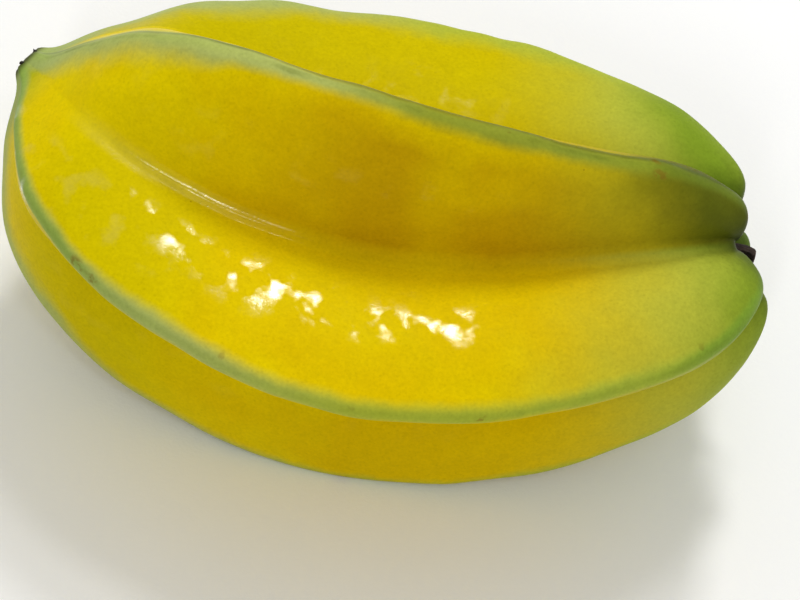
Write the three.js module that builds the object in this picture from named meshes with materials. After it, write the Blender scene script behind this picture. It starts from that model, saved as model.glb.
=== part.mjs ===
// Star fruit (carambola): one whole ripe fruit with five ribs and the stub of its stem.
// It lies on its two lower ribs, with one rib pointing up.
//
// Millimetres, +Z up. The origin is on the ground, under the middle of the fruit's box.
// The blossom end points to -X and the stem end to +X.
import * as THREE from "three";

const degrees = THREE.MathUtils.degToRad;

// ---- Driving dimensions ----

const RIB_COUNT = 5;
const AXIS_LENGTH = 125; // along the fruit's bent middle line
const AXIS_RADIUS = 120; // of that bend
const BEND_TURN = degrees(55); // from the top rib round to the inside of the bend

// Stations from the stem's seat to the blossom end, each [along the middle line, away from it].
// The crest is the sharp back of a rib, and the valley is the crease between two ribs. Both start
// in the pit round the stem, climb out over the ribs' rounded ends and close in the blunt beak.
const CREST = [
  [8.5, 0], [8.2, 2.2], [3, 9.5], [7, 18], [14.5, 25], [26, 30.5], [39, 35], [52.5, 37.5],
  [66, 38.5], [80, 37], [96, 33.5], [110, 25], [118, 14], [122.2, 5.4], [124.7, 2.6], [125, 0],
];
const VALLEY = [
  [8.5, 0], [8.2, 1.8], [6.4, 4], [7, 7.8], [12.5, 12.2], [24, 15.2], [37, 16.6], [52, 17.5],
  [66, 18.3], [80, 18.8], [95, 19.5], [108.5, 18.8], [117, 11.8], [122, 4.2], [124.6, 2], [125, 0],
];

// No two ribs are alike: how far each crest stands out from the common line above, at five places
// from the stem end to the blossom end. The first rib is the top one; the rest go round towards +Y.
const RIB_SWELL = [
  [-0.5, -2, -1, 1, -0.5],
  [2, 2.5, 0, -1.5, 0],
  [0.5, -0.5, 0.5, 0, 0.5],
  [0, 0, 0.5, 1, 0.5],
  [-1, -1, 1, -0.5, 0],
];

// Nor do the valleys lie midway between their ribs: how many degrees each is turned towards +Y, at
// seven places from the seat to the beak. The first valley follows the first rib.
const VALLEY_TURN = [
  [0, 1, -1, -1, 1, 0, 0],
  [0, -1, 1, 1, 0, -1, 0],
  [0, 1, 1, -1, -1, 1, 0],
  [0, -1, -1, 1, 1, 0, 0],
  [10, 6, 7.5, -0.5, -2, 2, 0],
];

// Each side of a rib is three arcs that run into each other: the crest's rounding, the bulging
// flank and the valley's rounding. The roundings shrink with the fruit towards its two ends.
const EDGE_RADIUS = 2.3;
const EDGE_SHARE = 0.2; // at most this share of the crest's height
const CREASE_RADIUS = 2.4;
const CREASE_SHARE = 0.14; // at most this share of the valley's height

// The flank's radius as a share of the crest's height, at six places from the seat to the beak:
// plump over the pit round the stem, nearly flat at the beak
const FLANK_SHARE = [0.7, 0.5, 0.9, 1.2, 2, 5];

// The fruit lies where its weight is lowest, on a small pressed spot of each lower rib.
const REST_TURN = new THREE.Euler(degrees(-3), degrees(-15.5), degrees(25), "ZXY");
const SPOT_DEPTH = 0.4;

// The stem droops along an arc, towards the ground on the front's side.
const STEM_GAP = 0.65; // between the middles of its foot and the seat, so that the rims are clear too
const STEM_BEND_RADIUS = 5.2;
const STEM_BEND_TURN = degrees(-110);
const STEM_SIDES = 20;
const STEM_END = 5.4;
const STEM_FOOT = 0;
const STEM_PROFILE = [
  [5.3, 0.8], [5, 1], [3.6, 0.95], [2.4, 0.9], [1.4, 1], [0.5, 1.3], [STEM_FOOT, 1.45],
]; // from its cut end to its foot, each [height over the foot, radius]

// How finely the curves are stepped
const STEPS_PER_STATION = 4;
const EDGE_STEPS = 3;
const FLANK_STEPS = 3;
const CREASE_STEPS = 2;

// ---- Lines along the fruit ----

const HALF_RIB = Math.PI / RIB_COUNT;
const spline = (points) => new THREE.SplineCurve(points.map(([x, y]) => new THREE.Vector2(x, y)));
const crestCurve = spline(CREST);
const valleyCurve = spline(VALLEY);
const swellCurves = RIB_SWELL.map((swell) => spline([0, ...swell, 0].map((out, i) => [i, out])));
const turnCurves = VALLEY_TURN.map((turns) => spline(turns.map((turn, i) => [i, degrees(turn)])));
const flankCurve = spline(FLANK_SHARE.map((share, i) => [i, share]));
const middle = new THREE.Vector2(AXIS_LENGTH / 2, 0);

function crestPoint(rib, t) {
  const point = crestCurve.getPoint(t);
  const outward = point.clone().sub(middle).normalize();
  return point.addScaledVector(outward, swellCurves[rib].getPoint(t).y);
}

// A middle line that starts along -X and bends towards one side, on an arc. It places a point that
// is `along` it, `out` from it and `turn` round it, from the top towards +Y.
function bentLine(radius, bendTurn) {
  const centre = new THREE.Vector3(0, Math.sin(bendTurn), Math.cos(bendTurn)).multiplyScalar(radius);
  const axis = new THREE.Vector3(-1, 0, 0).cross(centre).normalize();
  return (along, out, turn) =>
    new THREE.Vector3(0, out * Math.sin(turn), out * Math.cos(turn))
      .sub(centre)
      .applyAxisAngle(axis, along / radius)
      .add(centre);
}

const place = bentLine(AXIS_RADIUS, BEND_TURN);
const placeOnStem = bentLine(STEM_BEND_RADIUS, STEM_BEND_TURN);

// ---- Sections across the fruit ----

const polar = (centre, radius, angle) =>
  new THREE.Vector2(Math.cos(angle), Math.sin(angle)).multiplyScalar(radius).add(centre);

// The outline from a crest, on the x axis, to the valley at `valleyTurn` from it. The last value is
// the flank's radius.
function halfRib(crest, valley, valleyTurn, flank) {
  const edge = Math.min(EDGE_RADIUS, EDGE_SHARE * crest);
  const crease = Math.min(CREASE_RADIUS, CREASE_SHARE * valley);
  const edgeCentre = new THREE.Vector2(crest - edge, 0);
  const creaseCentre = polar(new THREE.Vector2(), valley + crease, valleyTurn);

  // The flank's circle holds the edge's circle and touches the crease's from the other side, which
  // gives its centre's distance from both of theirs.
  const reach = creaseCentre.clone().sub(edgeCentre);
  const span = reach.length();
  const toEdge = flank - edge;
  const toCrease = flank + crease;
  const forward = (span ** 2 + toEdge ** 2 - toCrease ** 2) / (2 * span);
  const inward = Math.sqrt(toEdge ** 2 - forward ** 2);
  reach.normalize();
  const flankCentre = new THREE.Vector2(-reach.y, reach.x)
    .multiplyScalar(inward)
    .addScaledVector(reach, forward)
    .add(edgeCentre);

  const edgeEnd = edgeCentre.clone().sub(flankCentre).angle();
  const flankEnd = creaseCentre.clone().sub(flankCentre).angle();
  return [
    ...arc(edgeCentre, edge, 0, edgeEnd, EDGE_STEPS),
    ...arc(flankCentre, flank, edgeEnd, flankEnd, FLANK_STEPS),
    ...arc(creaseCentre, crease, flankEnd + Math.PI, valleyTurn + Math.PI, CREASE_STEPS),
    polar(new THREE.Vector2(), valley, valleyTurn),
  ];
}

// Points along an arc, without its last one
function arc(centre, radius, from, to, steps) {
  return Array.from({ length: steps }, (_, i) =>
    polar(centre, radius, from + ((to - from) * i) / steps));
}

// One closed ring round the fruit. A section point's place along the fruit runs from the crest's to
// the valley's as it comes in, so the ribs' ends lean out over the pit.
function ring(t) {
  const valley = valleyCurve.getPoint(t);
  const valleyTurns = turnCurves.map((curve) => curve.getPoint(t).y);
  const points = [];
  for (let rib = 0; rib < RIB_COUNT; rib++) {
    const crest = crestPoint(rib, t);
    const flank = flankCurve.getPoint(t).y * crest.y;
    const side = (valleyTurn) => halfRib(crest.y, valley.y, valleyTurn, flank).map((point) => {
      const share = (point.length() - valley.y) / (crest.y - valley.y);
      const along = THREE.MathUtils.lerp(valley.x, crest.x, share);
      return { along, out: point.length(), turn: point.angle() };
    });
    const ribTurn = 2 * HALF_RIB * rib;
    const before = side(HALF_RIB - valleyTurns.at(rib - 1)).slice(1).reverse();
    const after = side(HALF_RIB + valleyTurns[rib]).slice(0, -1);
    points.push(...before.map((p) => place(p.along, p.out, ribTurn - p.turn)));
    points.push(...after.map((p) => place(p.along, p.out, ribTurn + p.turn)));
  }
  return points;
}

// ---- Solids ----

// Faces from ring to ring, with a fan of faces to close each end
function closedTube(rings, startPoint, endPoint) {
  const around = rings[0].length;
  const start = rings.length * around;
  const end = start + 1;
  const faces = [];
  for (let j = 0; j < around; j++) {
    const next = (j + 1) % around;
    faces.push(start, next, j);
    for (let row = 0; row < start - around; row += around) {
      faces.push(row + j, row + around + next, row + around + j);
      faces.push(row + j, row + next, row + around + next);
    }
    faces.push(end, start - around + j, start - around + next);
  }
  const geometry = new THREE.BufferGeometry().setFromPoints([...rings.flat(), startPoint, endPoint]);
  geometry.setIndex(faces);
  return geometry;
}

// From the rim of the seat to the rim of the beak
function fruitGeometry() {
  const stepCount = (CREST.length - 1) * STEPS_PER_STATION;
  const rings = [];
  for (let i = STEPS_PER_STATION; i <= stepCount - STEPS_PER_STATION; i++) {
    rings.push(ring(i / stepCount));
  }
  return closedTube(rings, place(CREST[0][0], 0, 0), place(CREST.at(-1)[0], 0, 0));
}

// A dry stub with a flared foot and a cut, slightly domed end
function stemGeometry() {
  const rings = STEM_PROFILE.map(([height, radius]) =>
    Array.from({ length: STEM_SIDES }, (_, i) =>
      placeOnStem(-height, radius, (2 * Math.PI * i) / STEM_SIDES)));
  return closedTube(rings, placeOnStem(-STEM_END, 0, 0), placeOnStem(-STEM_FOOT, 0, 0));
}

// Flattens what would reach below the ground, which leaves a pressed spot on each lower rib
function pressFlat(geometry) {
  const { position } = geometry.attributes;
  for (let i = 0; i < position.count; i++) position.setZ(i, Math.max(position.getZ(i), 0));
  geometry.computeVertexNormals();
}

// ---- Assembly ----

const skin = new THREE.MeshStandardMaterial({ color: 0xd9bd12, roughness: 0.3, metalness: 0 });
const wood = new THREE.MeshStandardMaterial({ color: 0x2c211b, roughness: 0.8, metalness: 0 });

const fruit = new THREE.Mesh(fruitGeometry(), skin);
fruit.name = "fruit";
const restTurn = new THREE.Matrix4().makeRotationFromEuler(REST_TURN);
fruit.geometry.applyMatrix4(restTurn);
fruit.geometry.computeBoundingBox();
const box = fruit.geometry.boundingBox;
const toOrigin = box.getCenter(new THREE.Vector3()).negate().setZ(-box.min.z - SPOT_DEPTH);
fruit.geometry.translate(...toOrigin);
pressFlat(fruit.geometry);

const stem = new THREE.Mesh(stemGeometry(), wood);
stem.name = "stem";
stem.position.copy(place(CREST[0][0] - STEM_GAP, 0, 0));

const stemPlace = new THREE.Group();
stemPlace.rotation.copy(REST_TURN);
stemPlace.position.copy(toOrigin);
stemPlace.add(stem);

const starFruit = new THREE.Group();
starFruit.add(fruit, stemPlace);

export default starFruit;
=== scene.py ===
"""Looks of the star fruit: waxy ribbed skin, the dry stem stub and the dried tip, on a pale floor.

The fruit's own lines are given in millimetres, as in its CAD source, and turned into metres last.
"""
import math

import bpy
import numpy as np
from mathutils import Euler, Matrix, Vector, noise


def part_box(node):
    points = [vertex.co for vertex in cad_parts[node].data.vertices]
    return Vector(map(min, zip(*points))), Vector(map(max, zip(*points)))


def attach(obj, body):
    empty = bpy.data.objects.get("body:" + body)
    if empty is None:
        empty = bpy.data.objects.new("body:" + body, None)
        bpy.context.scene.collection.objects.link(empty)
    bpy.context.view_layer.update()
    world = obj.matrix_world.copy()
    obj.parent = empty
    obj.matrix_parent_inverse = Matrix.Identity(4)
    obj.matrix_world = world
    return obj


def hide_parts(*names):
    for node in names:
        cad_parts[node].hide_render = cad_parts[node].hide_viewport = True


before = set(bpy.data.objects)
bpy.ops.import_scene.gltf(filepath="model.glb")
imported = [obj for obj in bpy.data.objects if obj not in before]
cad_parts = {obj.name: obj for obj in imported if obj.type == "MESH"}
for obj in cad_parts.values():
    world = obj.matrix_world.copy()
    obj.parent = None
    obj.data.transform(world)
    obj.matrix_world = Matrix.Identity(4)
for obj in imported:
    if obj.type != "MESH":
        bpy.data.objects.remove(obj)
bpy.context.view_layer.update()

MM = 0.001

# ---- The fruit's lines, as in the CAD source (mm) ----

RIB_COUNT = 5
HALF_RIB = math.pi / RIB_COUNT
AXIS_LENGTH = 125  # along the fruit's bent middle line
AXIS_RADIUS = 120  # of that bend
BEND_TURN = math.radians(55)  # from the top rib round to the inside of the bend
# Stations from the stem's seat to the blossom end, each (along the middle line, away from it)
CREST = [
    (8.5, 0), (8.2, 2.2), (3, 9.5), (7, 18), (14.5, 25), (26, 30.5), (39, 35), (52.5, 37.5),
    (66, 38.5), (80, 37), (96, 33.5), (110, 25), (118, 14), (122.2, 5.4), (124.7, 2.6), (125, 0),
]
VALLEY = [
    (8.5, 0), (8.2, 1.8), (6.4, 4), (7, 7.8), (12.5, 12.2), (24, 15.2), (37, 16.6), (52, 17.5),
    (66, 18.3), (80, 18.8), (95, 19.5), (108.5, 18.8), (117, 11.8), (122, 4.2), (124.6, 2), (125, 0),
]
# How far each rib stands out from the common crest, at five places along it
RIB_SWELL = [
    (-0.5, -2, -1, 1, -0.5),
    (2, 2.5, 0, -1.5, 0),
    (0.5, -0.5, 0.5, 0, 0.5),
    (0, 0, 0.5, 1, 0.5),
    (-1, -1, 1, -0.5, 0),
]
# How many degrees each valley is turned towards +Y, at seven places along it
VALLEY_TURN = [
    (0, 1, -1, -1, 1, 0, 0),
    (0, -1, 1, 1, 0, -1, 0),
    (0, 1, 1, -1, -1, 1, 0),
    (0, -1, -1, 1, 1, 0, 0),
    (10, 6, 7.5, -0.5, -2, 2, 0),
]
# The crest's and the valley's roundings are at most this share of their heights, and the flank's
# radius is this share of the crest's height, at six places along the fruit
EDGE_RADIUS, EDGE_SHARE = 2.3, 0.2
CREASE_RADIUS, CREASE_SHARE = 2.4, 0.14
FLANK_SHARE = (0.7, 0.5, 0.9, 1.2, 2, 5)
REST_TURN = Euler([math.radians(v) for v in (-3, -15.5, 25)], "YXZ").to_matrix()

# ---- How finely the skin is meshed, and how uneven it is (mm) ----

RINGS = 280
RUN_STEPS = 3000  # along the crest, to space the rings evenly
EDGE_STEPS, FLANK_STEPS, CREASE_STEPS = 7, 18, 7
SWELLS = [(15, 0.22), (6, 0.06)]  # waves over the flanks: length, height
EDGE_WAVE_LENGTH, EDGE_WAVE_HEIGHT = 8, 0.4  # waves along the crests
EDGE_WAVE_REACH = 3.0  # how far from its crest a rib waves with it
EDGE_WAVE_STEP = 9.7  # gives each rib waves of its own
CALM_HEIGHT = 3  # nearer to the ground than this the skin keeps the CAD's shape
CALM_ENDS = 10  # over this length the crests' waves fade out towards both ends

# How the ribs differ, from the top one round towards +Y: mm that the unripe stem end reaches
# further, how much darker ochre the flanks take (painted shade on the top rib, a warmer tone on
# the others; where there is almost none, painted shade in SHADED yellow instead), mm that the
# crest's pale band is wider, and how glossy.
RIB_TONES = [
    (6, 1, 1.1, 0.2),
    (6, 0, 5.5, 0.05),
    # The third rib's unripe stem end reaches 12 mm further, partly as painted shade
    (12, 0.5, 0.5, 0.2),
    (0, 0.25, 2.2, 0.1),
    (-1, 0.3, 1.7, 1),
]
TONE_BLEND = 1.5  # mm on each side of a valley
RUST_SPOTS = [
    (0, 17.5, 1.2, 0.8), (0, 43.2, 0.2, 0.5),
    (1, 53, 0.5, 0.6), (1, 70, 0.5, 0.7), (1, 82, 0.5, 0.8), (1, 101, 0.4, 0.6),
    (2, 35, 0.9, 1.1), (2, 90, 0.6, 0.8),
    (3, 60, 0.8, 0.9),
    (4, 99.4, 0.3, 0.8), (4, 96.7, 0.3, 0.6), (4, 44.3, 0.4, 0.5),
]  # (rib, along, from its crest, radius), a little longer along the crest than across it

# What each point of the skin knows: mm along and away from the bent middle line, mm to its rib's
# crest and to the valley, its rib's tones, how rusty it is, how far it is over the crest towards
# +Y, and its rib's number.
MARKS = (
    "along", "out", "from_crest", "from_valley",
    "unripe", "golden", "band", "gloss",
    "rust", "across", "rib",
)


# ---- Lines and sections ----

def spline(points, t):
    """The Catmull-Rom curve through evenly counted points, at each t from 0 to 1."""
    points = np.asarray(points, float)
    last = len(points) - 1
    place = np.clip(t, 0, 1) * last
    index = np.minimum(place.astype(int), last - 1)
    w = (place - index)[:, None]
    p0, p1, p2, p3 = (points[np.clip(index + k, 0, last)] for k in (-1, 0, 1, 2))
    v1, v2 = (p2 - p0) / 2, (p3 - p1) / 2
    return (2 * p1 - 2 * p2 + v1 + v2) * w**3 + (3 * p2 - 3 * p1 - 2 * v1 - v2) * w**2 + v1 * w + p1


def spread(values, t):
    """One value at each t, from values at evenly counted places."""
    return spline([[value] for value in values], t)[:, 0]


def crest_points(rib, t):
    """A rib's crest, swollen away from the middle of the fruit: along and out at each t."""
    points = spline(CREST, t)
    away = points - (AXIS_LENGTH / 2, 0)
    away /= np.linalg.norm(away, axis=1, keepdims=True)
    swell = spread((0, *RIB_SWELL[rib], 0), t)
    return points + away * swell[:, None]


def polar(centre, radius, angle):
    return centre + radius[:, None] * np.stack([np.cos(angle), np.sin(angle)], 1)


def arc(centre, radius, start, end, steps, ends=False):
    """Points along one arc for every ring at once, without the last point unless asked."""
    return [polar(centre, radius, start + (end - start) * i / steps) for i in range(steps + ends)]


def half_rib(crest, valley, valley_turn, flank):
    """The outline from a crest, on the x axis, to the valley: rings x points x 2."""
    edge = np.minimum(EDGE_RADIUS, EDGE_SHARE * crest)
    crease = np.minimum(CREASE_RADIUS, CREASE_SHARE * valley)
    edge_centre = np.stack([crest - edge, 0 * crest], 1)
    crease_centre = polar(np.zeros((1, 2)), valley + crease, valley_turn)

    reach = crease_centre - edge_centre
    span = np.linalg.norm(reach, axis=1)
    to_edge, to_crease = flank - edge, flank + crease
    forward = (span**2 + to_edge**2 - to_crease**2) / (2 * span)
    inward = np.sqrt(to_edge**2 - forward**2)
    reach /= span[:, None]
    side = np.stack([-reach[:, 1], reach[:, 0]], 1)
    flank_centre = edge_centre + side * inward[:, None] + reach * forward[:, None]

    edge_end = np.arctan2(*(edge_centre - flank_centre).T[::-1])
    flank_end = np.arctan2(*(crease_centre - flank_centre).T[::-1])
    points = arc(edge_centre, edge, 0, edge_end, EDGE_STEPS)
    points += arc(flank_centre, flank, edge_end, flank_end, FLANK_STEPS)
    points += arc(crease_centre, crease, flank_end + math.pi, valley_turn + math.pi, CREASE_STEPS, True)
    return np.stack(points, 1)


def put(along, out, turn, radius=AXIS_RADIUS, bend_turn=BEND_TURN):
    """Points `along` a bent middle line, `out` from it and `turn` round it from the top."""
    to_centre = radius * np.array([0, math.sin(bend_turn), math.cos(bend_turn)])
    axis = np.cross([-1, 0, 0], to_centre) / radius
    arm = np.stack([0 * out, out * np.sin(turn), out * np.cos(turn)], -1) - to_centre
    swing = (along / radius)[..., None]
    swung = arm * np.cos(swing) + np.cross(axis, arm) * np.sin(swing)
    return swung + axis * (arm @ axis)[..., None] * (1 - np.cos(swing)) + to_centre


def middle(along):
    """Points on the fruit's middle line."""
    along = np.asarray(along, float)
    return put(along, 0 * along, 0 * along)


# ---- The skin as one grid of points ----

def ring_places():
    """The t of each ring, evenly spread over the crest's length between the seat and the beak."""
    fine = np.linspace(1, len(CREST) - 2, RUN_STEPS) / (len(CREST) - 1)
    steps = np.linalg.norm(np.diff(spline(CREST, fine), axis=0), axis=1)
    run = np.concatenate([[0], np.cumsum(steps)])
    return np.interp(np.linspace(0, run[-1], RINGS), run, fine)


def rib_tones(rib, neighbour, from_valley):
    """A rib's tones, which run into its neighbour's at the valley between them."""
    own = np.clip(0.5 + from_valley / TONE_BLEND / 2, 0, 1)
    return [own * here + (1 - own) * there for here, there in zip(RIB_TONES[rib], RIB_TONES[neighbour])]


def rusty(rib, along, from_crest):
    """How rusty a rib's points are: 1 in the middle of its spots."""
    spots = [spot[1:] for spot in RUST_SPOTS if spot[0] == rib]
    return sum(
        np.exp(-(((along - place) ** 2 / 2 + (from_crest - away) ** 2) / radius**2))
        for place, away, radius in spots
    )


def rib_side(rib, sign, crest, valley, valley_turn, flank_share):
    """One side of a rib, from its crest to its valley: its points, and what they know (see MARKS)."""
    section = half_rib(crest[:, 1], valley[:, 1], HALF_RIB + sign * valley_turn, flank_share * crest[:, 1])
    out = np.linalg.norm(section, axis=2)
    turn = 2 * HALF_RIB * rib + sign * np.arctan2(section[..., 1], section[..., 0])
    share = (out - valley[:, 1:]) / (crest[:, 1:] - valley[:, 1:])
    along = valley[:, :1] + (crest[:, :1] - valley[:, :1]) * share

    steps = np.linalg.norm(np.diff(section, axis=1), axis=2)
    from_crest = np.concatenate([np.zeros((RINGS, 1)), np.cumsum(steps, axis=1)], 1)
    from_valley = from_crest[:, -1:] - from_crest
    tones = rib_tones(rib, (rib + sign) % RIB_COUNT, from_valley)
    rust = rusty(rib, along, from_crest)
    number = np.full_like(along, rib)
    marks = [along, out, from_crest, from_valley, *tones, rust, sign * from_crest, number]
    return put(along, out, turn), np.stack(marks, -1)


def skin_grid():
    """The skin's points, ring by ring from the seat to the beak, and what they know."""
    t = ring_places()
    valley = spline(VALLEY, t)
    valley_turns = [spread([math.radians(turn) for turn in turns], t) for turns in VALLEY_TURN]
    flank_share = spread(FLANK_SHARE, t)
    points, marks = [], []
    for rib in range(RIB_COUNT):
        crest = crest_points(rib, t)
        # Up from the valley before the rib, then down to the one behind it, with no line twice
        for sign, part in ((-1, slice(None, 0, -1)), (1, slice(0, -1))):
            valley_turn = valley_turns[rib if sign > 0 else rib - 1]
            side_points, side_marks = rib_side(rib, sign, crest, valley, valley_turn, flank_share)
            points.append(side_points[:, part])
            marks.append(side_marks[:, part])
    return np.concatenate(points, 1), np.concatenate(marks, 1)


def turned(points):
    """Turns points as the fruit lies."""
    return points @ np.array(REST_TURN).T


def rest_shift(points):
    """What moves the turned fruit to where the CAD's fruit is."""
    low, high = points.reshape(-1, 3).min(0), points.reshape(-1, 3).max(0)
    cad_low, cad_high = (np.array(corner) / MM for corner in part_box("fruit"))
    shift = (cad_low + cad_high) / 2 - (low + high) / 2
    shift[2] = cad_high[2] - high[2]
    return shift


skin_points, skin_marks = skin_grid()
REST_SHIFT = rest_shift(turned(skin_points))


def lay(points):
    """From the fruit's own frame to where it lies."""
    return turned(points) + REST_SHIFT


def grid_normals(points):
    along = np.gradient(points, axis=0)
    around = np.roll(points, -1, 1) - np.roll(points, 1, 1)
    normals = np.cross(around, along)
    return normals / np.linalg.norm(normals, axis=-1, keepdims=True)


def smooth_noise(places):
    flat = [noise.noise(Vector(p)) for p in places.reshape(-1, 3)]
    return np.array(flat).reshape(places.shape[:-1])


def uneven(points, marks):
    """Adds the skin's low waves and the crests' own, fading out where the fruit meets the ground."""
    normals = grid_normals(points)
    calm = np.clip(points[..., 2] / CALM_HEIGHT, 0, 1)
    for length, height in SWELLS:
        points = points + normals * (height * calm * smooth_noise(points / length))[..., None]
    along, from_crest, rib = (marks[..., MARKS.index(name)] for name in ("along", "from_crest", "rib"))
    near_crest = np.exp(-((from_crest / EDGE_WAVE_REACH) ** 2))
    places = [along / EDGE_WAVE_LENGTH, rib * EDGE_WAVE_STEP + 0.5, 0 * along + 0.3]
    wave = smooth_noise(np.stack(places, -1))
    ends = np.clip(np.minimum(along, AXIS_LENGTH - along) / CALM_ENDS, 0, 1)
    return points + normals * (EDGE_WAVE_HEIGHT * calm * near_crest * ends * wave)[..., None]


# ---- Meshes through rings of points ----

def closed_mesh(name, grid, ends, values, flip=False):
    """A smooth closed mesh through rings of points and an end point on each side.

    `values` are its named point attributes, in the grid's shape. It is flipped where the rings run
    the other way round, so that its faces point out.
    """
    rings, around = grid.shape[:2]
    points = np.concatenate([grid.reshape(-1, 3), ends])
    index = np.arange(rings * around).reshape(rings, around)
    following = np.roll(index, -1, 1)
    first, last = rings * around, rings * around + 1
    faces = np.stack([index[:-1], index[1:], following[1:], following[:-1]], -1).reshape(-1, 4).tolist()
    faces += [(first, index[0, j], following[0, j]) for j in range(around)]
    faces += [(last, following[-1, j], index[-1, j]) for j in range(around)]
    if flip:
        faces = [(face[0], *face[:0:-1]) for face in faces]

    mesh = bpy.data.meshes.new(name)
    mesh.from_pydata((points * MM).tolist(), [], faces)
    for label, value in values.items():
        layer = mesh.attributes.new(label, "FLOAT", "POINT")
        end_values = (value[0].mean(), value[-1].mean())
        layer.data.foreach_set("value", np.concatenate([value.ravel(), end_values]).astype(np.float32))
    mesh.polygons.foreach_set("use_smooth", [True] * len(mesh.polygons))
    mesh.update()
    piece = bpy.data.objects.new(name, mesh)
    bpy.context.scene.collection.objects.link(piece)
    return piece


def closed_tube(name, grid, values):
    """A closed mesh that ends in the middles of its first and last rings."""
    return closed_mesh(name, grid, grid[[0, -1]].mean(1), values)


# ---- Camera, at the photograph's viewing angle ----

CAMERA_AZIMUTH = math.radians(3.15)
CAMERA_ELEVATION = math.radians(56.4)
CAMERA_ROLL = math.radians(10.9)
CAMERA_DISTANCE = 0.5
CAMERA_LENS = 144.5
CAMERA_SENSOR = 36
CAMERA_CLIP = (0.01, 20)
LOOK_AT = Vector((0.0051, -0.0050, 0.0273))


def towards(azimuth, elevation):
    """From the fruit: azimuth 0 is the camera's side, 90 degrees the stem's side."""
    level = math.cos(elevation)
    return Vector((math.sin(azimuth) * level, -math.cos(azimuth) * level, math.sin(elevation)))


def make_camera():
    data = bpy.data.cameras.new("camera")
    data.sensor_width = CAMERA_SENSOR
    data.lens = CAMERA_LENS
    data.clip_start, data.clip_end = CAMERA_CLIP
    camera = bpy.data.objects.new("camera", data)
    bpy.context.scene.collection.objects.link(camera)
    back = towards(CAMERA_AZIMUTH, CAMERA_ELEVATION)
    level = (-back).to_track_quat("-Z", "Y").to_matrix()
    roll = Matrix.Rotation(CAMERA_ROLL, 3, "Z")
    camera.matrix_world = Matrix.Translation(LOOK_AT + back * CAMERA_DISTANCE) @ (level @ roll).to_4x4()
    bpy.context.scene.camera = camera


# ---- Short ways to make and link a material's nodes ----

class Nodes:
    """A material under construction. Places and lengths are in mm."""

    def __init__(self, name):
        self.material = bpy.data.materials.new(name)
        self.material.use_nodes = True
        self.tree = self.material.node_tree
        self.shader = self.tree.nodes["Principled BSDF"]
        self.mm = self.scaled(self.add("TexCoord", out="Object"), 1 / MM)

    def put(self, socket, value):
        if isinstance(value, bpy.types.NodeSocket):
            self.tree.links.new(value, socket)
        else:
            socket.default_value = value

    def add(self, kind, inputs=(), out=0, **settings):
        """Adds a node and gives its output `out`."""
        node = self.tree.nodes.new("ShaderNode" + kind)
        for name, value in settings.items():
            setattr(node, name, value)
        for name, value in dict(inputs).items():
            self.put(node.inputs[name], value)
        return node.outputs[out]

    def finish(self, **inputs):
        for name, value in inputs.items():
            self.put(self.shader.inputs[name.replace("_", " ")], value)
        return self.material

    def scaled(self, vector, factor):
        return self.add("VectorMath", {0: vector, 3: factor}, operation="SCALE")

    def moved(self, *shift):
        """The same place in another part of the noise."""
        return self.add("VectorMath", {0: self.mm, 1: shift}, operation="ADD")

    def calc(self, operation, a, b=0.0):
        return self.add("Math", {0: a, 1: b}, operation=operation)

    def sum(self, *values):
        total = values[0]
        for value in values[1:]:
            total = self.calc("ADD", total, value)
        return total

    def times(self, *values):
        total = values[0]
        for value in values[1:]:
            total = self.calc("MULTIPLY", total, value)
        return total

    def without(self, share, much=1):
        """What is left of 1 without so much of this share."""
        return self.sum(1, self.times(share, -much))

    def most(self, a, b):
        return self.calc("MAXIMUM", a, b)

    def fade(self, value, start, end, low=0.0, high=1.0):
        """Goes smoothly from low to high as value goes from start to end."""
        ends = {"Value": value, "From Min": start, "From Max": end, "To Min": low, "To Max": high}
        return self.add("MapRange", ends, interpolation_type="SMOOTHSTEP")

    def mix(self, share, a, b):
        return self.add("Mix", {0: share, 6: a, 7: b}, out=2, data_type="RGBA")

    def noise(self, length, detail=2, where=None):
        """Soft noise around 0 whose lumps are about `length` mm long."""
        inputs = {"Vector": where or self.mm, "Scale": 1 / length, "Detail": detail}
        return self.sum(self.add("TexNoise", inputs), -0.5)

    def attribute(self, name):
        return self.add("Attribute", attribute_name=name, out="Fac")

    def cells(self, length, out="Distance"):
        return self.add("TexVoronoi", {"Vector": self.mm, "Scale": 1 / length}, out=out)

    def few_cells(self, length, picked):
        """1 in the cells whose random number is over 0.9, 0 in those where it is under `picked`."""
        number = self.add("SeparateColor", {0: self.cells(length, "Color")})
        return self.fade(number, picked, 0.9)

    def bump(self, height, distance):
        """Height in units of `distance` mm."""
        return self.add("Bump", {"Height": height, "Distance": distance * MM})


def colour(red, green, blue):
    """A shader colour from the 0 to 255 values that a screen shows."""
    def linear(value):
        value /= 255
        return value / 12.92 if value <= 0.04045 else ((value + 0.055) / 1.055) ** 2.4
    return (linear(red), linear(green), linear(blue), 1)


# ---- The skin's colours and wax ----

LEMON = colour(224, 203, 2)
GOLD = colour(220, 192, 1)
# Darker ochre: painted shade on the top rib's flank and down in the valleys, a warmer tone on other ribs
SHADE_OCHRE = colour(196, 161, 10)
SHADED = colour(196, 182, 2)
SAGE = colour(128, 144, 60)
PALE = colour(168, 182, 116)
PALE_LIME = colour(172, 184, 72)
LIME = colour(174, 182, 76)
# The top rib's lime, darker as painted shade
SHADED_LIME = colour(176, 166, 38)
GREEN = colour(126, 152, 44)
# The top rib's green, darker as painted shade
SHADED_GREEN = colour(88, 98, 30)
# Dark green of the painted shade in the pit round the stem
PIT_SHADE_GREEN = colour(56, 70, 20)
CREST_GREEN = colour(132, 164, 62)
OLIVE = colour(84, 98, 32)
DRY_TIP = colour(58, 58, 32)
RUST = colour(132, 98, 36)
DOT = colour(130, 106, 22)

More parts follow.
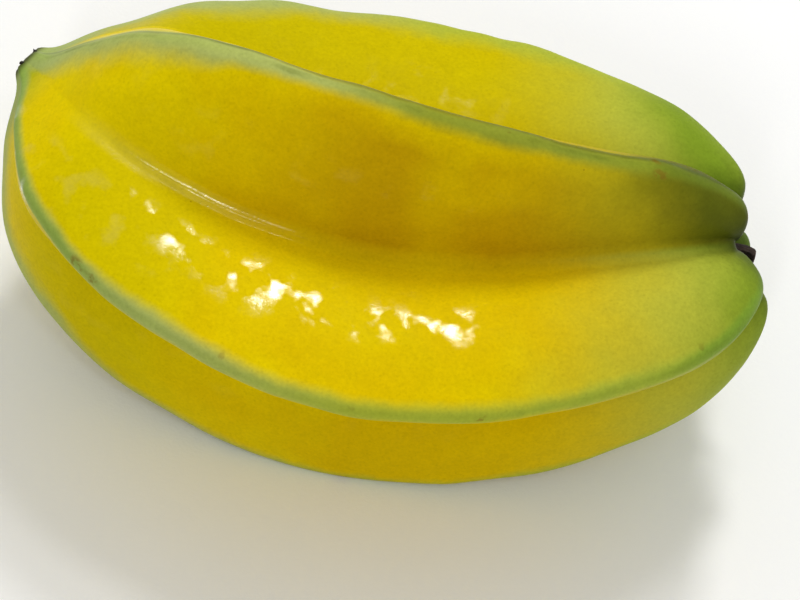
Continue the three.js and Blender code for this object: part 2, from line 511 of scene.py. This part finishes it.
# Where each thing begins and where it is full, in mm along the fruit from its stem end
LIME_ALONG = (46, 12)
GREEN_ALONG = (24, 2)
PIT_ALONG = (16, 10)
BEAK_GREEN_ALONG = (118, 124)
DRY_TIP_ALONG = (123.4, 124.9)
FLANK_SHADE_ALONG = (90, 62)
VALLEY_SHADE_ALONG = (104, 70)
SHADE_ALONG, SHADE_ENDS_ALONG = (76, 94), (116, 104)
PALER_BAND_ALONG = (56, 86)
WIDER_BAND_ALONG = (88, 102)
STEM_CORE_ALONG, BEAK_CORE_ALONG = (30, 8), (88, 104)
DARK_LINE_ALONG = (108, 94)
WAX_ALONG = (38, 54)
CREASE_WAX_ALONG, CREASE_WAX_ENDS_ALONG = (70, 92), (114, 106)

# The same in mm from a crest, from a valley, and away from the middle line
FLANK_SHADE_FROM_CREST = (1, 7)
CORE_FROM_CREST = (1.8, 0)
THIN_LINE_FROM_CREST = (0.7, 0.1)
SPECKS_FROM_CREST = (3.4, 0.8)
SHADE_FROM_VALLEY = (8, 0)
WAX_FROM_VALLEY, WAX_ENDS_FROM_VALLEY = (4, 7), (17, 14)
CREASE_WAX_FROM_VALLEY = (2.5, 1)
VALLEY_SHADE_OUT = (12, 15)
PIT_OUT = (15, 5)

BAND_REACH = 1.1  # mm that a crest's pale band reaches, before what the rib's tones add
DARK_LINE_PLACE = 1.6  # mm over the top rib's crest
SPECK_CELLS, DOT_CELLS, PORE_CELLS = 3.4, 4, 0.75  # mm
SKIN_ROUGHNESS = 0.42
SKIN_SPECULAR = 0.04
SKIN_SPECULAR_TINT = (1, 0.88, 0.25, 1)
WAX_PATCH_LENGTH = 4  # mm
WAX_PATCH_EDGE = (0.02, 0.2)
WAX_ROUGHNESS = 0.15
WAX_IOR = 1.65


class Skin(Nodes):
    """The skin's material under construction, with its marks and the noise that they share."""

    def __init__(self):
        super().__init__("carambola_skin")
        for name in MARKS:
            setattr(self, name, self.attribute(name))
        self.big, self.mid = self.noise(30), self.noise(9, 3)
        self.small, self.fine = self.noise(2.2, 3), self.noise(0.55, 2)
        self.other = self.noise(17, 2, self.moved(310, 70, 50))
        self.pore = self.fade(self.cells(PORE_CELLS), 0.36, 0.12)
        # 1 on the top rib alone, the one with the most ochre shade; its unripe end takes darker lime and
        # green as painted shade
        self.top_rib = self.fade(self.golden, 0.6, 0.9)
        # mm from the stem end, in uneven steps, less what this rib's unripe end reaches further
        self.from_stem = self.sum(
            self.along, self.times(self.big, 20), self.times(self.mid, 6), self.times(self.small, 1.5),
            self.times(self.unripe, -1),
        )

    def by_gloss(self, low, high, dull=0.3):
        """From low on the glossy rib to high on the dull ones."""
        return self.fade(self.gloss, 0.9, dull, low, high)


def flanks(n):
    """Ripe flanks with painted shade: darker ochre on the top rib and in valleys, shaded yellow on others.
    """
    lumps = n.sum(n.big, n.times(n.mid, 0.5), n.times(n.along, -0.004))
    base = n.mix(n.fade(lumps, -0.52, -0.1), LEMON, GOLD)
    # Darker ochre away from the crests: painted shade on the top rib, a warmer tone on the other ribs
    lower = n.fade(n.sum(n.from_crest, n.times(n.mid, 6)), *FLANK_SHADE_FROM_CREST)
    ochre_shade = n.times(lower, n.fade(n.along, *FLANK_SHADE_ALONG), n.golden)
    base = n.mix(n.times(ochre_shade, n.fade(n.other, -0.25, 0.1, 0.3, 0.9)), base, SHADE_OCHRE)
    base = n.mix(n.fade(n.golden, 0.25, 0.05, 0, 0.8), base, SHADED)
    shaded = n.times(n.fade(n.along, *SHADE_ALONG), n.fade(n.along, *SHADE_ENDS_ALONG))
    base = n.mix(n.times(shaded, n.fade(n.top_rib, 1, 0, 0, 0.6)), base, SHADED)
    # Painted shade: darker ochre down in the valleys
    valley_shade = n.fade(n.sum(n.from_valley, n.times(n.mid, 4)), *SHADE_FROM_VALLEY, 0, 0.3)
    valley_shade = n.times(valley_shade, n.fade(n.along, *VALLEY_SHADE_ALONG), n.fade(n.out, *VALLEY_SHADE_OUT))
    return n.mix(valley_shade, base, SHADE_OCHRE)


def unripe_ends(n, base):
    """Stem end from yellow over lime to green, darker on the top rib as painted shade; beak to green."""
    lime, green = n.mix(n.top_rib, LIME, SHADED_LIME), n.mix(n.top_rib, GREEN, SHADED_GREEN)
    to_lime = n.sum(n.from_stem, n.times(n.from_crest, 0.3))
    base = n.mix(n.fade(to_lime, *LIME_ALONG, 0, 0.9), base, lime)
    to_green = n.sum(n.from_stem, n.times(n.from_crest, 0.5))
    base = n.mix(n.fade(to_green, *GREEN_ALONG, 0, 0.9), base, green)
    to_beak = n.sum(n.along, n.times(n.mid, 4), n.small)
    return n.mix(n.fade(to_beak, *BEAK_GREEN_ALONG, 0, 0.8), base, GREEN)


def band_reach(n):
    """How far a crest's pale band goes: further on dull ribs' blossom ends, less on a far side."""
    to_blossom = n.fade(n.sum(n.along, n.times(n.other, 20)), *WIDER_BAND_ALONG)
    reach = n.sum(n.times(n.band, 0.8), n.times(to_blossom, n.by_gloss(-0.6, 2.8)))
    far_side = n.times(n.fade(n.sum(n.across, n.mid), 0, 3), n.fade(n.band, 3, 5))
    return n.sum(BAND_REACH, n.times(reach, n.without(far_side, 0.7)))


def pale_bands(n):
    """How pale the crests are: their bands fade into the flanks."""
    share = n.calc("DIVIDE", n.from_crest, band_reach(n))
    share = n.sum(share, n.times(n.mid, 0.8), n.times(n.small, 0.25), n.times(n.other, 0.7))
    return n.times(n.fade(share, 1.3, 0.2, 0, 0.85), n.fade(n.from_stem, 2, 26, 0.15, 1))


def green_cores(n):
    """How green the crests' cores are: more towards both ends."""
    stem_core = n.fade(n.sum(n.along, n.times(n.unripe, -1)), *STEM_CORE_ALONG)
    near_ends = n.most(stem_core, n.fade(n.along, *BEAK_CORE_ALONG, 0, 0.6))
    away = n.sum(n.from_crest, n.times(n.mid, 1.5), n.times(n.small, 0.5), n.times(near_ends, -0.9))
    away = n.sum(away, n.times(n.band, n.by_gloss(0.1, 0.6)))
    core = n.fade(away, *CORE_FROM_CREST, 0, 0.8)
    return n.times(core, n.fade(near_ends, 0, 1, 0.25, 1), n.fade(n.top_rib, 0, 1, 1, 0.3))


def olive_lines(n):
    """A dark line just over the top rib's crest, and thin broken ones on the dull ribs' crests."""
    over = n.sum(n.across, n.times(n.mid, 1.5), n.times(n.small, 0.8), -DARK_LINE_PLACE)
    line = n.fade(n.calc("ABSOLUTE", over), 1.2, 0.3)
    line = n.times(line, n.top_rib, n.fade(n.along, *DARK_LINE_ALONG, 0.4, 0.6))
    thin = n.fade(n.sum(n.from_crest, n.times(n.small, 0.6)), *THIN_LINE_FROM_CREST)
    thin = n.times(thin, n.fade(n.noise(7, 3), -0.1, 0.25))
    return n.most(line, n.times(thin, n.by_gloss(0.1, 0.35)))


def crests(n, base, pale):
    """Pale bands with greener cores and olive lines, and painted shade in the pit round the stem."""
    band_colour = n.mix(n.top_rib, PALE_LIME, SAGE)
    band_colour = n.mix(n.fade(n.along, *PALER_BAND_ALONG), band_colour, PALE)
    base = n.mix(pale, base, band_colour)
    base = n.mix(green_cores(n), base, CREST_GREEN)
    base = n.mix(olive_lines(n), base, OLIVE)
    # Painted shade: dark green down in the pit round the stem
    pit = n.fade(n.sum(n.out, n.times(n.small, 2)), *PIT_OUT)
    return n.mix(n.times(pit, n.fade(n.along, *PIT_ALONG), 0.85), base, PIT_SHADE_GREEN)


def rusty_specks(n):
    """How rusty the skin is: in specks along the crests, and in the ribs' rusty spots."""
    specks = n.fade(n.sum(n.cells(SPECK_CELLS), n.times(n.small, 0.9)), 0.2, 0.04)
    specks = n.times(specks, n.few_cells(SPECK_CELLS, 0.86))
    specks = n.times(specks, n.fade(n.from_crest, *SPECKS_FROM_CREST), 0.6)
    crumbly = n.sum(n.small, n.times(n.noise(0.8, 3), 0.8))
    spots = n.times(n.rust, n.fade(crumbly, -0.16, 0.12))
    return n.most(specks, n.fade(spots, 0.1, 0.7))


def blemishes(n, base, specks):
    """Rusty specks, a few dots on the flanks, fine mottling with pores, and the dry tip."""
    base = n.mix(n.times(specks, 0.5), base, RUST)
    dots = n.times(n.fade(n.cells(DOT_CELLS), 0.06, 0.03), n.few_cells(DOT_CELLS, 0.88))
    base = n.mix(n.times(dots, 0.5), base, DOT)
    shade = n.sum(1, n.times(n.fine, 0.22), n.times(n.small, 0.14), n.times(n.pore, -0.05))
    base = n.scaled(base, shade)
    return n.mix(n.fade(n.sum(n.along, n.small), *DRY_TIP_ALONG, 0, 0.9), base, DRY_TIP)


def waxiness(n, pale):
    """How waxy the skin is: in patches on the flanks, and along the creases.

    The wax alone mirrors the light sharply, and the pale bands are matt.
    """
    patches = n.noise(WAX_PATCH_LENGTH, 2, n.moved(40, 90, 10))
    wax = n.fade(patches, *WAX_PATCH_EDGE)
    wax = n.times(wax, n.fade(n.sum(n.along, n.times(n.mid, 12)), *WAX_ALONG))
    wax = n.times(wax, n.fade(n.from_valley, *WAX_FROM_VALLEY))
    wax = n.times(wax, n.fade(n.sum(n.from_valley, n.times(n.mid, 6)), *WAX_ENDS_FROM_VALLEY))
    crease = n.fade(n.from_valley, *CREASE_WAX_FROM_VALLEY)
    crease = n.times(crease, n.fade(n.along, *CREASE_WAX_ENDS_ALONG), n.fade(n.along, *CREASE_WAX_ALONG))
    matt = n.times(pale, n.by_gloss(0, 0.7, dull=0.4))
    return n.times(n.most(wax, crease), n.gloss, n.without(matt))


def relief(n):
    """The skin's low waves, lumps and pores, in mm."""
    waves = n.sum(n.times(n.noise(8, 0), 0.34), n.times(n.noise(4.2, 0), 0.1))
    return n.sum(waves, n.times(n.small, 0.026), n.times(n.fine, 0.01), n.times(n.pore, -0.004))


def skin_material():
    """The skin. Each step of its colour is laid over the one before."""
    n = Skin()
    pale, specks = pale_bands(n), rusty_specks(n)
    base = unripe_ends(n, flanks(n))
    base = crests(n, base, pale)
    base = blemishes(n, base, specks)
    roughness = n.sum(
        SKIN_ROUGHNESS, n.times(n.mid, 0.22), n.times(n.small, 0.16), n.times(n.pore, 0.08),
        n.times(specks, 0.3),
    )
    normal = n.bump(relief(n), 1.0)
    return n.finish(
        Base_Color=base, Roughness=roughness, Normal=normal,
        Specular_IOR_Level=SKIN_SPECULAR, Specular_Tint=SKIN_SPECULAR_TINT,
        Coat_Weight=waxiness(n, pale), Coat_Roughness=WAX_ROUGHNESS, Coat_IOR=WAX_IOR, Coat_Normal=normal,
    )


def make_fruit():
    points = uneven(lay(skin_points), skin_marks)
    points[..., 2] = np.maximum(points[..., 2], 0)
    values = {name: skin_marks[..., column] for column, name in enumerate(MARKS)}
    ends = lay(middle([CREST[0][0], CREST[-1][0]]))
    fruit = closed_mesh("star_fruit_skin", points, ends, values, flip=True)
    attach(fruit, "root")
    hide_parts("fruit")
    fruit.data.materials.append(skin_material())


# ---- The stem ----

STEM_GAP = 0.65  # mm between the seat and the stem's foot
STEM_BEND_RADIUS = 5.2
STEM_BEND_TURN = math.radians(-110)
# From its root in the seat to its cut end, each (height over the foot, radius)
STEM_PROFILE = [
    (-0.75, 2.1), (-0.45, 1.75), (0, 1.45), (0.6, 1.25), (1.4, 1.0), (2.4, 0.9), (3.6, 0.92), (4.6, 0.98),
    (5.05, 0.98), (5.25, 0.88), (5.3, 0.7), (5.22, 0.4), (5.2, 0.15),
]
STEM_CUT_SLANT = 0.5  # mm of height for each mm of radius
STEM_CUT_TURN = 1.92
STEM_SLANT_FROM, STEM_SLANT_LENGTH = 3, 2
STEM_RINGS, STEM_SIDES = 90, 72

BARK = colour(84, 70, 62)
BARK_LIGHT = colour(128, 112, 98)
BARK_DARK = colour(46, 38, 34)
CUT_WOOD = colour(96, 80, 60)
CUT_HEIGHT = (5.05, 5.2)
CUT_OUT = (1.0, 0.7)
GREEN_FOOT_HEIGHT = (0.3, -0.5)


def stem_grid():
    """The stem's points, and how high over its foot and far from its middle each of them is."""
    profile = spline(STEM_PROFILE, np.linspace(0, 1, STEM_RINGS))
    height = np.repeat(profile[:, :1], STEM_SIDES, 1)
    turn = np.linspace(0, 2 * math.pi, STEM_SIDES, endpoint=False) + 0 * height
    round_it = np.stack([np.cos(turn), np.sin(turn), 0.22 * height], -1)
    ridges = 0.16 * smooth_noise(round_it * (3.2, 3.2, 1))
    fine_ridges = 0.07 * smooth_noise(round_it * (9, 9, 3))
    knots = 0.1 * smooth_noise(round_it * (1.3, 1.3, 5) + 7)
    out = profile[:, 1:] * (1 + ridges + fine_ridges + knots)
    slanted = np.clip((height - STEM_SLANT_FROM) / STEM_SLANT_LENGTH, 0, 1)
    slant = (STEM_CUT_SLANT * np.cos(turn + STEM_CUT_TURN) - 0.05) * slanted * out
    points = put(-(height + slant), out, turn, STEM_BEND_RADIUS, STEM_BEND_TURN)
    return points + middle(CREST[0][0] - STEM_GAP), height, out


def stem_material():
    n = Nodes("dry_stem")
    height, out = n.attribute("height"), n.attribute("out")
    grain, patch, fine = n.noise(0.5, 4), n.noise(1.6, 3), n.noise(0.12, 2)
    base = n.mix(n.fade(n.sum(patch, n.times(grain, 0.6)), -0.2, 0.25), BARK_DARK, BARK)
    base = n.mix(n.fade(grain, 0.1, 0.3, 0, 0.5), base, BARK_LIGHT)
    cut = n.times(n.fade(height, *CUT_HEIGHT), n.fade(n.sum(out, n.times(grain, 0.5)), *CUT_OUT))
    base = n.mix(n.times(cut, 0.45), base, CUT_WOOD)
    # Its foot, down in the seat, turns to the dark green of the pit's painted shade
    foot = n.fade(n.sum(height, n.times(patch, 0.8)), *GREEN_FOOT_HEIGHT, 0, 0.6)
    base = n.mix(foot, base, PIT_SHADE_GREEN)
    relief = n.sum(n.times(grain, 0.16), n.times(fine, 0.04), n.times(patch, 0.1))
    return n.finish(
        Base_Color=base, Roughness=n.sum(0.72, n.times(grain, 0.3)), Normal=n.bump(relief, 1.0),
        Specular_IOR_Level=0.3,
    )


def make_stem():
    points, height, out = stem_grid()
    stem = closed_tube("star_fruit_stem", lay(points), {"height": height, "out": out})
    stem.data.materials.append(stem_material())
    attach(stem, "root")
    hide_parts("stem")


# ---- The five styles' dried ends: small bent nubs on the rim of the beak ----

STYLES = [(20, 0.5), (95, 0.3), (160, 0.45), (238, 0.35), (306, 0.5)]  # (degrees from the top, mm long)
STYLE_RADIUS = 0.42
STYLE_TAPER = 0.4  # the power of the share that is left, so a nub is blunt
STYLE_ROOT = 0.5  # mm sunk in the beak
STYLE_RIM = (124.5, 2.0)  # along and away from the middle line
STYLE_RINGS, STYLE_SIDES = 14, 14


def style_grid(number, degrees, length):
    """One nub's points, and the share of its length at each. No two nubs are alike."""
    share = np.linspace(0, 1, STYLE_RINGS)[:, None]
    turn = np.linspace(0, 2 * math.pi, STYLE_SIDES, endpoint=False)[None] + 0 * share
    share = share + 0 * turn
    rough = smooth_noise(np.stack([np.cos(turn), np.sin(turn), 3 * share + 5 * number], -1) * 1.7)
    radius = STYLE_RADIUS * (1 - share) ** STYLE_TAPER * (1 + 0.5 * rough)
    radius = radius * (1 + 0.4 * np.sin(5 * share + number))
    lean = -0.5 if number % 2 else 0.3
    along = STYLE_RIM[0] - STYLE_ROOT + (length + STYLE_ROOT) * share + radius * np.cos(turn) * 0.2
    out = STYLE_RIM[1] + lean * share**2 + radius * np.cos(turn)
    sideways = radius * np.sin(turn) + 0.3 * share**2 * math.cos(number * 2.1)
    return put(along, out, math.radians(degrees) + sideways / out), share


def style_material():
    n = Nodes("dried_style")
    grain = n.noise(0.25, 3)
    base = n.mix(n.fade(n.sum(n.attribute("height"), grain), 0.1, 0.7), DRY_TIP, BARK_DARK)
    return n.finish(Base_Color=base, Roughness=n.sum(0.7, n.times(grain, 0.3)), Normal=n.bump(grain, 0.08))


def make_styles():
    material = style_material()
    for number, (degrees, length) in enumerate(STYLES):
        points, share = style_grid(number, degrees, length)
        piece = closed_tube(f"dried_style_{number + 1}", lay(points), {"height": share})
        piece.data.materials.append(material)
        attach(piece, "root")


# ---- Floor and light (metres and watts) ----

FLOOR_SIZE = 6
FLOOR_TONES = (0.92, 0.935)
LIGHT_DISTANCE = 0.9
WORLD_STRENGTH = 0.475
# (name, azimuth, elevation, size, watts, whether the wax mirrors it)
LIGHTS = [
    ("key", 200, 66, (1.1, 0.9), 0.4, False),
    ("strip", 180, 57, (0.12, 0.18), 2.0, True),
    ("strip_high", 177, 70, (0.12, 0.1), 0.8, True),
    ("glint", 20, 64, (0.14, 0.06), 0.3, True),
    ("glint_low", 357, 44, (0.06, 0.2), 0.7, True),
]


def make_floor():
    bpy.ops.mesh.primitive_plane_add(size=FLOOR_SIZE)
    floor = bpy.context.active_object
    floor.name = "floor"
    n = Nodes("floor_paper")
    tone = n.fade(n.noise(40, 2), -0.3, 0.3, *FLOOR_TONES)
    tint = n.add("CombineColor", {0: tone, 1: tone, 2: tone})
    paper = n.finish(Base_Color=tint, Roughness=0.7, Normal=n.bump(n.noise(0.6, 1), 0.03))
    floor.data.materials.append(paper)


def make_light(name, azimuth, elevation, size, watts, mirrored):
    """A softbox that looks at the fruit."""
    data = bpy.data.lights.new(name, "AREA")
    data.shape = "RECTANGLE"
    data.size, data.size_y = size
    data.energy = watts
    light = bpy.data.objects.new(name, data)
    bpy.context.scene.collection.objects.link(light)
    back = towards(math.radians(azimuth), math.radians(elevation))
    light.location = LOOK_AT + back * LIGHT_DISTANCE
    light.rotation_euler = (-back).to_track_quat("-Z", "Y").to_euler()
    light.visible_glossy = mirrored


def make_world():
    world = bpy.data.worlds.new("world")
    world.use_nodes = True
    background = world.node_tree.nodes["Background"]
    background.inputs["Color"].default_value = (1, 1, 1, 1)
    background.inputs["Strength"].default_value = WORLD_STRENGTH
    bpy.context.scene.world = world


def set_contrast():
    view = bpy.context.scene.view_settings
    view.view_transform = "Standard"
    view.look = "Medium High Contrast"


make_fruit()
make_camera()
make_stem()
make_styles()
make_floor()
for light in LIGHTS:
    make_light(*light)
make_world()
set_contrast()
